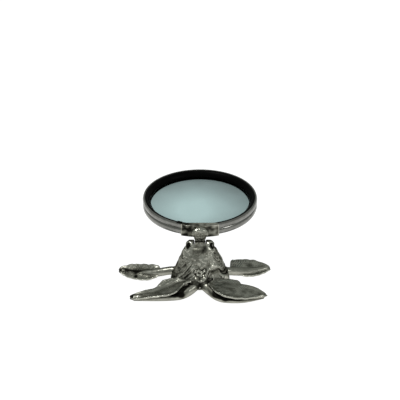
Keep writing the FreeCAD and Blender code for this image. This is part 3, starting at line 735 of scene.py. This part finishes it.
def trunkRelief(p):
    # how far the skin moves outwards at a point and how dark it is, for p in mm
    sizes, wearAndShading = trunkSizes, trunkWearAndShading
    plain = keptPlain(p)
    if plain is not None:
        return 0.0, plain
    angle = math.degrees(math.atan2(p.x, -(p.y - trunkHalf(p.z)[2])))
    # long furrows that fan down the flanks and the back
    upright = smoothStep(60, 100, abs(angle))
    leaning = angle + math.copysign(sizes["slant"], angle) * p.z * (1 - upright)
    furrow = noise.fractal(Vector((leaning * 0.15, p.z * 0.1, 3.1)), 0.8, 2.1, 3)
    furrow *= max(smoothStep(-8, -22, angle) * smoothStep(31, 23, p.z),
                  smoothStep(48, 66, abs(angle)))
    furrow *= 1 - smoothStep(33, 37, p.z)
    lift = sizes["streak"] * furrow
    # a brow between the ears, lower under the neck so that it clears the tilted head
    underNeck = sizes["neckDip"] * smoothStep(9.5, 4.0, abs(p.x)) * smoothStep(33.5, 39.5, p.z)
    brow = sizes["brow"] * bell(p.z - sizes["browHeight"], 2.7)
    lift += brow * smoothStep(72, 40, abs(angle)) * (1 - underNeck)
    lift -= sizes["narrowing"] * smoothStep(-50, -80, angle) * bell(p.z - 18, 9)
    bayLift, bayShade, inside = bayRelief(p)
    mottle = noise.fractal(p * 0.34, 0.85, 2.1, 4)
    fine = noise.fractal(p * 0.95 + Vector((7, 1, 4)), 0.9, 2.0, 2)
    calm = (1 - 0.85 * inside) * (1 - 0.7 * smoothStep(32, 36, p.z))
    lift += bayLift + calm * (sizes["mottle"] * mottle + sizes["fine"] * fine)
    # a ridge down the outer side of the left ear, lightened along it as a painted highlight
    offRidge = p.x + 12.2 - 0.36 * (p.z - 35.5)
    ridge = bell(offRidge, 0.7) * smoothStep(30, 32.5, p.z) * smoothStep(41.5, 39.5, p.z)
    ridge *= smoothStep(-3, -6, p.y)
    lift += sizes["earRidge"] * ridge

    shade = bayShade + wearAndShading["patches"] * noise.noise(p * 0.2) * (1 - inside)
    shade += wearAndShading["sides"] * smoothStep(58, 84, abs(angle))
    shade += wearAndShading["leftFlank"] * smoothStep(-12, -30, angle) * smoothStep(28, 18, p.z)
    shade += wearAndShading["brow"] * bell(p.z - 36.2, 2.6) * smoothStep(7.0, 5.0, abs(p.x))
    shade -= wearAndShading["furrows"] * furrow + wearAndShading["body"] * smoothStep(36, 30, p.z)
    shade -= wearAndShading["ears"] * smoothStep(35, 39, p.z) * smoothStep(5.0, 6.5, abs(p.x))
    shade -= wearAndShading["earRidge"] * ridge
    return lift * smoothStep(sizes["foot"], 7.0, p.z), shade


def eyeSocket(p):
    # a slanting teardrop in the front of each ear with a bright outer lid: painted shade inside the teardrop, a
    # painted highlight on the lid
    side = 1 if p.x > 0 else -1
    a, b = turned(side * p.x - eyeShape["across"], p.z - eyeShape["up"], eyeShape["slant"])
    a /= eyeShape["halfWide"]
    ring = math.hypot(a, b / eyeShape["halfTall"])
    if p.y > -3.5 or ring > 2.2:
        return 0.0, 0.0
    dent = trunkSizes["socket"] * smoothStep(1.0, 0.35, ring)
    lid = 0.9 * bell(ring - 1.22, 0.26) * (0.4 + 0.6 * smoothStep(-0.3, 0.7, a))
    # painted shade in the teardrop and a painted highlight round its lid
    dark = 0.8 * smoothStep(1.0, 0.65, ring)
    return dent - lid, dark - 0.6 * bell(ring - 1.25, 0.3)


def trunkShell():
    # the CAD body with the knot's beads and the leaves' collars, as one skin
    sizes = trunkSizes
    bm = cadCopy("trunk_casting")
    for vert in bm.verts:
        vert.co = (vert.co - trunkPlace) / mm
    for bead in knotBeads:
        bmesh.ops.create_icosphere(bm, subdivisions=3, radius=bead[2],
                                   matrix=Matrix.Translation(beadMiddle(*bead)))
    for leaf in leaves.values():
        start, out = Vector(leaf["stem"][0][:3]), Vector(leaf["stem"][1][:3])
        radius = leaf["stem"][1][3]
        way = out - start
        turn = way.to_track_quat("Z", "Y").to_matrix().to_4x4()
        bmesh.ops.create_cone(bm, cap_ends=True, segments=32, radius1=radius + 1.9,
                              radius2=radius + 0.3, depth=way.length * 0.62,
                              matrix=Matrix.Translation(start.lerp(out, 0.62)) @ turn)
    for vert in bm.verts:
        vert.co = vert.co * mm
    bm = remeshed(bm, sizes["voxel"])
    smoothed(bm, 4)
    # the joins of ears, apron and flanks are melted together, clear of the slot
    melt = [v for v in bm.verts if v.co.z > 29 * mm and v.co.y < -7.9 * mm]
    smoothed(bm, sizes["melting"], verts=melt)
    # the ears' outer ends are rounded down into the flanks
    for vert in bm.verts:
        p = vert.co / mm
        if p.z > 34:
            fall = sizes["earSlope"] * smoothStep(8.6, 13.0, abs(p.x))
            vert.co.z -= fall * (p.z - 34) * mm
    return bm


def aroundBeads(p, lift, shade):
    # the beads are bright and keep their shape, and the gaps round them are dark
    for bead in knotBeads:
        gap = (p - beadMiddle(*bead)).length - bead[2]
        if gap < 0.3:
            return 0.3 * lift, -trunkWearAndShading["beads"]
        shade += trunkWearAndShading["roundBeads"] * bell(gap - 0.8, 0.5)
    return lift, shade


def makeTrunk():
    bm = trunkShell()
    bm.normal_update()
    layer = bm.verts.layers.float.new("shade")
    shifts = []
    for vert in bm.verts:
        p = vert.co / mm
        dent, dark = eyeSocket(p)
        lift, shade = aroundBeads(p, *trunkRelief(p))
        shifts.append((vert.normal * lift + Vector((0, dent, 0))) * mm)
        vert[layer] = shade + dark
    for vert, shift in zip(bm.verts, shifts):
        vert.co += shift
    smoothed(bm, 1, 0.4)
    for vert in bm.verts:
        vert.co += trunkPlace
    markHollows(bm, patinaAndShading=lambda vert: vert[layer])
    bm.verts.layers.float.remove(layer)
    return makePiece("trunkBody", bm, "trunk_casting", "stand")


made = makeTrunk()
print("trunk", len(made.data.polygons))


# saddle and knuckle are made in the rim's own frame
saddleSizes = {
    "inner": 51.05, "outer": 52.25, "half": 5.05, "flange": 0.6, "lip": 47.8,
    "straightLip": 46.9, "turn": 36.0, "bevel": 0.22, "voxel": 0.22, "patinaAndShading": 0.12, "lipHighlight": 0.5,
    "patches": 0.6, "patchSize": 3.6, "leftDarker": 0.22, "endHighlights": 0.5, "endAt": 15.6,
}


def makeSaddle():
    # curved channel over the hoop's two ends, its upper lip cut straight
    s = saddleSizes
    bm = bmesh.new()
    profile = [(s["lip"], -s["half"]), (s["inner"], -s["half"]), (s["inner"], s["half"]),
               (s["lip"], s["half"]), (s["lip"], s["half"] + s["flange"]),
               (s["outer"], s["half"] + s["flange"]), (s["outer"], -s["half"] - s["flange"]),
               (s["lip"], -s["half"] - s["flange"])]
    ring = [bm.verts.new((0, -r, z)) for r, z in profile]
    bmesh.ops.contextual_create(bm, geom=ring)
    half = math.radians(s["turn"] / 2)
    bmesh.ops.rotate(bm, verts=bm.verts, cent=(0, 0, 0), matrix=Matrix.Rotation(-half, 3, "Z"))
    bmesh.ops.spin(bm, geom=bm.verts[:] + bm.edges[:] + bm.faces[:], cent=(0, 0, 0),
                   axis=(0, 0, 1), dvec=(0, 0, 0), angle=2 * half, steps=28, use_merge=False,
                   use_duplicate=False)
    bmesh.ops.holes_fill(bm, edges=[e for e in bm.edges if e.is_boundary], sides=12)
    bmesh.ops.recalc_face_normals(bm, faces=bm.faces)
    for vert in bm.verts:
        if vert.co.z > s["half"] - 0.01 and vert.co.xy.length < s["lip"] + 0.5:
            vert.co.y = -s["straightLip"]
    sharp = [e for e in bm.edges if e.is_manifold and e.calc_face_angle(0) > 0.6]
    bmesh.ops.bevel(bm, geom=sharp, offset=s["bevel"], offset_type="OFFSET", affect="EDGES",
                    segments=3, profile=0.5, material=-1)
    for vert in bm.verts:
        vert.co = vert.co * mm
    bm = remeshed(bm, s["voxel"])
    smoothed(bm, 1)

    # painted highlights on the upper lip, strongest on the right, and on the two ends; darker on the left half
    def patinaAndShading(vert):
        p = vert.co / mm
        rightward = smoothStep(-5, 4, p.x)
        wornAndLit = s["lipHighlight"] * smoothStep(s["half"] - 0.3, s["half"] + 0.5, p.z)
        patches = s["patches"] * noise.noise(p / s["patchSize"])
        ends = s["endHighlights"] * bell(abs(p.x) - s["endAt"], 0.5)
        return (s["patinaAndShading"] + patches + s["leftDarker"] * (1 - rightward)
                - wornAndLit * (0.25 + 0.75 * rightward) - ends)

    markHollows(bm, 8, 0.14, patinaAndShading)
    for vert in bm.verts:
        vert.co = headMatrix @ vert.co
    return makePiece("rimSaddle", bm, "rim_saddle", "lens_head")


knuckleSizes = {
    "voxel": 0.24, "wide": 6.6, "tall": 4.8, "deep": 3.5, "collar": 5.4, "domeScale": 0.82,
    "mottle": 0.16,
}
# small domes on the boss: x, height and radius
bossDomes = [(-4.4, 2.2, 1.35), (-2.5, 3.5, 1.2), (-0.2, 4.1, 1.25), (2.2, 3.8, 1.2),
             (4.3, 2.5, 1.3), (-2.3, 0.6, 1.5), (1.6, 0.8, 1.7), (-3.6, -1.8, 1.2),
             (3.5, -1.6, 1.2), (0.0, -1.9, 1.4), (-1.5, -3.9, 1.0), (1.7, -4.1, 1.05)]


def makeKnuckle():
    # an oval boss set with small domes, tapering to the hinge barrel
    face = -saddleSizes["outer"]
    sizes = knuckleSizes
    bm = cadCopy("neck_knuckle")
    back = headMatrix.inverted()
    for vert in bm.verts:
        vert.co = back @ vert.co / mm
    bmesh.ops.create_uvsphere(bm, u_segments=48, v_segments=24, radius=1.0,
                              matrix=Matrix.Translation((0, face - 0.8, 0)) @ Matrix.Diagonal(
                                  (sizes["wide"], sizes["deep"], sizes["tall"], 1)))
    bmesh.ops.create_cone(bm, cap_ends=True, segments=40, radius1=sizes["collar"] - 0.6,
                          radius2=sizes["collar"], depth=3.2,
                          matrix=Matrix.Translation((0, face - 3.3, -3.7)) @ Matrix.Diagonal(
                              (1, 0.5, 1, 1)))
    for x, z, radius in bossDomes:
        bulge = math.sqrt(max(0.05, 1 - (x / sizes["wide"]) ** 2 - (z / sizes["tall"]) ** 2))
        out = face - 0.8 - sizes["deep"] * bulge
        bmesh.ops.create_icosphere(bm, subdivisions=3, radius=sizes["domeScale"] * radius,
                                   matrix=Matrix.Translation((x, out, z)))
    for vert in bm.verts:
        if vert.co.z > -5.2:
            vert.co.y = min(vert.co.y, face - 0.05)
        vert.co = vert.co * mm
    bm = remeshed(bm, sizes["voxel"])
    smoothed(bm, 2)
    bm.normal_update()
    for vert in bm.verts:
        p = vert.co / mm
        vert.co += vert.normal * sizes["mottle"] * noise.fractal(p * 0.7, 0.9, 2.1, 2) * mm
    # painted shadow in a thin crescent under the boss, painted highlights on the top domes and on a band just
    # above the crescent
    markHollows(bm, 16, 0.2, lambda vert: 0.9 * bell(vert.co.z / mm + 5.75, 0.28) + 0.1
                - 0.45 * smoothStep(1.8, 3.8, vert.co.z / mm)
                - 0.5 * bell(vert.co.z / mm + 4.4, 0.8))
    for vert in bm.verts:
        vert.co = headMatrix @ vert.co
    return makePiece("neckKnuckle", bm, "neck_knuckle", "lens_head")


tabShape = {"turn": -20.5, "out": 49.2, "long": 4.6, "wide": 2.6, "rise": 0.5}


def makeBezel():
    # the bezel as it is, with the end of its spring bent out over the hoop
    bm = cadCopy("upper_bezel")
    tab = bmesh.ops.create_cube(bm, size=1.0)
    block = list({e for v in tab["verts"] for e in v.link_edges})
    for vert in tab["verts"]:
        vert.co = Vector((vert.co.x * tabShape["long"],
                          vert.co.y * tabShape["wide"] - tabShape["out"],
                          5.0 + (vert.co.z + 0.35) * 2 * tabShape["rise"]))
    turn = headMatrix @ Matrix.Rotation(math.radians(tabShape["turn"]), 4, "Z")
    for vert in tab["verts"]:
        vert.co = turn @ (vert.co * mm)
    bmesh.ops.bevel(bm, geom=block, offset=0.15 * mm, offset_type="OFFSET", affect="EDGES",
                    segments=2, profile=0.5, material=-1)
    return makePiece("upperBezel", bm, "upper_bezel", "lens_head")


makeSaddle()
makeKnuckle()
makeBezel()
print("saddle, knuckle and bezel")


stageLook = {
    "floorTone": 0.18,
    "floorGlow": 0.98,
    "worldTint": (0.95, 1.0, 0.97, 1),
    "worldLevel": 0.42,
    "aim": (0, 0, 0.03),
}
softboxes = {
    "keySoftbox": {"place": (-0.35, -0.25, 0.95), "size": 0.17, "power": 4.2},
    "fillSoftbox": {"place": (0.75, -0.55, 0.55), "size": 0.25, "power": 0.9},
}


def makeFloor():
    bm = bmesh.new()
    bmesh.ops.create_circle(bm, cap_ends=True, segments=64, radius=12)
    mesh = bpy.data.meshes.new("floorPlane")
    bm.to_mesh(mesh)
    bm.free()
    floor = bpy.data.objects.new("floorPlane", mesh)
    bpy.context.collection.objects.link(floor)
    paint = Paint("paleFloor")
    tone = stageLook["floorTone"]
    paint.set(Base_Color=(tone, tone, tone, 1), Roughness=0.9,
              Emission_Color=(1, 1, 1, 1), Emission_Strength=stageLook["floorGlow"])
    mesh.materials.append(paint.material)


def makeWorld():
    world = bpy.data.worlds.new("studioWorld")
    bpy.context.scene.world = world
    world.use_nodes = True
    shade = world.node_tree.nodes["Background"]
    shade.inputs["Color"].default_value = stageLook["worldTint"]
    shade.inputs["Strength"].default_value = stageLook["worldLevel"]


def addLight(name, place, size, power):
    data = bpy.data.lights.new(name, "AREA")
    data.shape = "DISK"
    data.size = size
    data.energy = power
    light = bpy.data.objects.new(name, data)
    light.location = place
    way = Vector(stageLook["aim"]) - Vector(place)
    light.rotation_euler = way.to_track_quat("-Z", "Y").to_euler()
    bpy.context.collection.objects.link(light)


cameraView = {
    "aim": (0, 0.010, 0.035),  # from the trunk's place
    "distance": 0.65,
    "elevation": 22.0,
    "across": 0.342,  # width seen at the aim
    "shift": 0.105,
    "sensor": 36,
}


def makeCamera():
    view = cameraView
    data = bpy.data.cameras.new("frontCamera")
    data.sensor_width = view["sensor"]
    data.lens = view["sensor"] * view["distance"] / view["across"]
    data.shift_y = view["shift"]
    data.clip_start = 0.01
    data.dof.use_dof = False
    camera = bpy.data.objects.new("frontCamera", data)
    aim = trunkPlace + Vector(view["aim"])
    rise = math.radians(view["elevation"])
    camera.location = aim + view["distance"] * Vector((0, -math.cos(rise), math.sin(rise)))
    camera.rotation_euler = (aim - camera.location).to_track_quat("-Z", "Y").to_euler()
    bpy.context.collection.objects.link(camera)
    bpy.context.scene.camera = camera


makeFloor()
makeWorld()
for lightName, lightData in softboxes.items():
    addLight(lightName, **lightData)
makeCamera()
bpy.context.scene.view_settings.view_transform = "Standard"
print("stage set")
